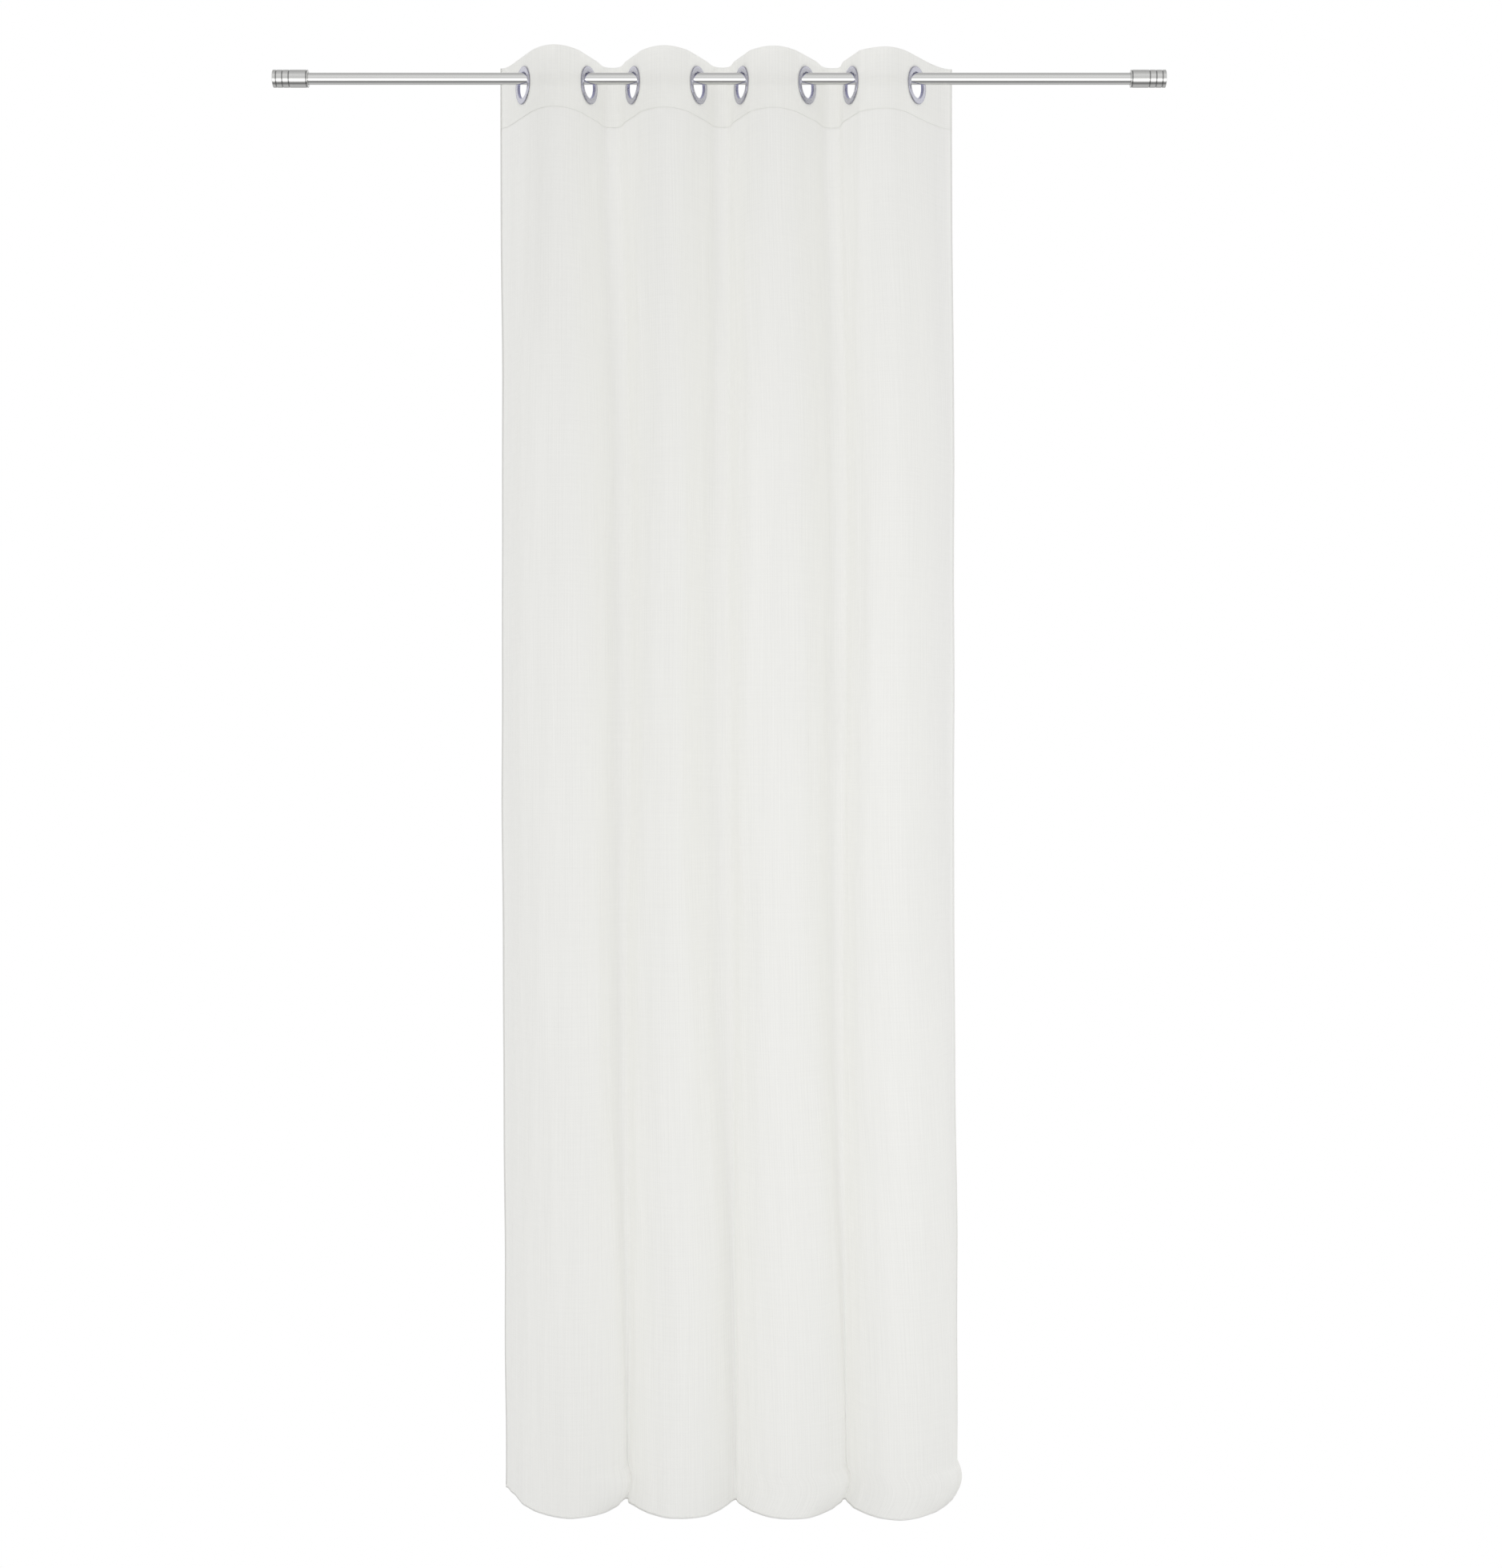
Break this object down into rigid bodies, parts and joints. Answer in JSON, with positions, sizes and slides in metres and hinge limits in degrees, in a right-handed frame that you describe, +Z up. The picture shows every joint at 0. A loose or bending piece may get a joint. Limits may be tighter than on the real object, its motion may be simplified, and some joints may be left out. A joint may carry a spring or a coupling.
{
  "type": "sheer voile eyelet curtain on its curtain rod",
  "caption": "Full-length sheer voile panel hanging in soft rounded folds by metal eyelets from a slim steel rod with turned, finely grooved end caps.",
  "frame": {"origin": "on the rod's axis, half way along the rod", "axes": "+X along the rod to the right as seen from the room, -Y towards the room (front of the curtain), +Z up"},
  "size_m": [1.51, 0.1789, 2.4504],
  "materials": {
    "voile": "sheer off-white voile, slubbed plain weave, matte with a faint sheen",
    "eyelet_metal": "satin nickel",
    "rod_steel": "polished and brushed along its length",
    "cap_steel": "turned steel with fine grooves"
  },
  "bodies": {
    "root": {"curtain_panel": "voile", "eyelet_1": "eyelet_metal", "eyelet_2": "eyelet_metal", "eyelet_3": "eyelet_metal", "eyelet_4": "eyelet_metal", "eyelet_5": "eyelet_metal", "eyelet_6": "eyelet_metal", "eyelet_7": "eyelet_metal", "eyelet_8": "eyelet_metal", "curtain_rod": "rod_steel", "rod_cap_left": "cap_steel", "rod_cap_right": "cap_steel"}
  },
  "joints": []
}
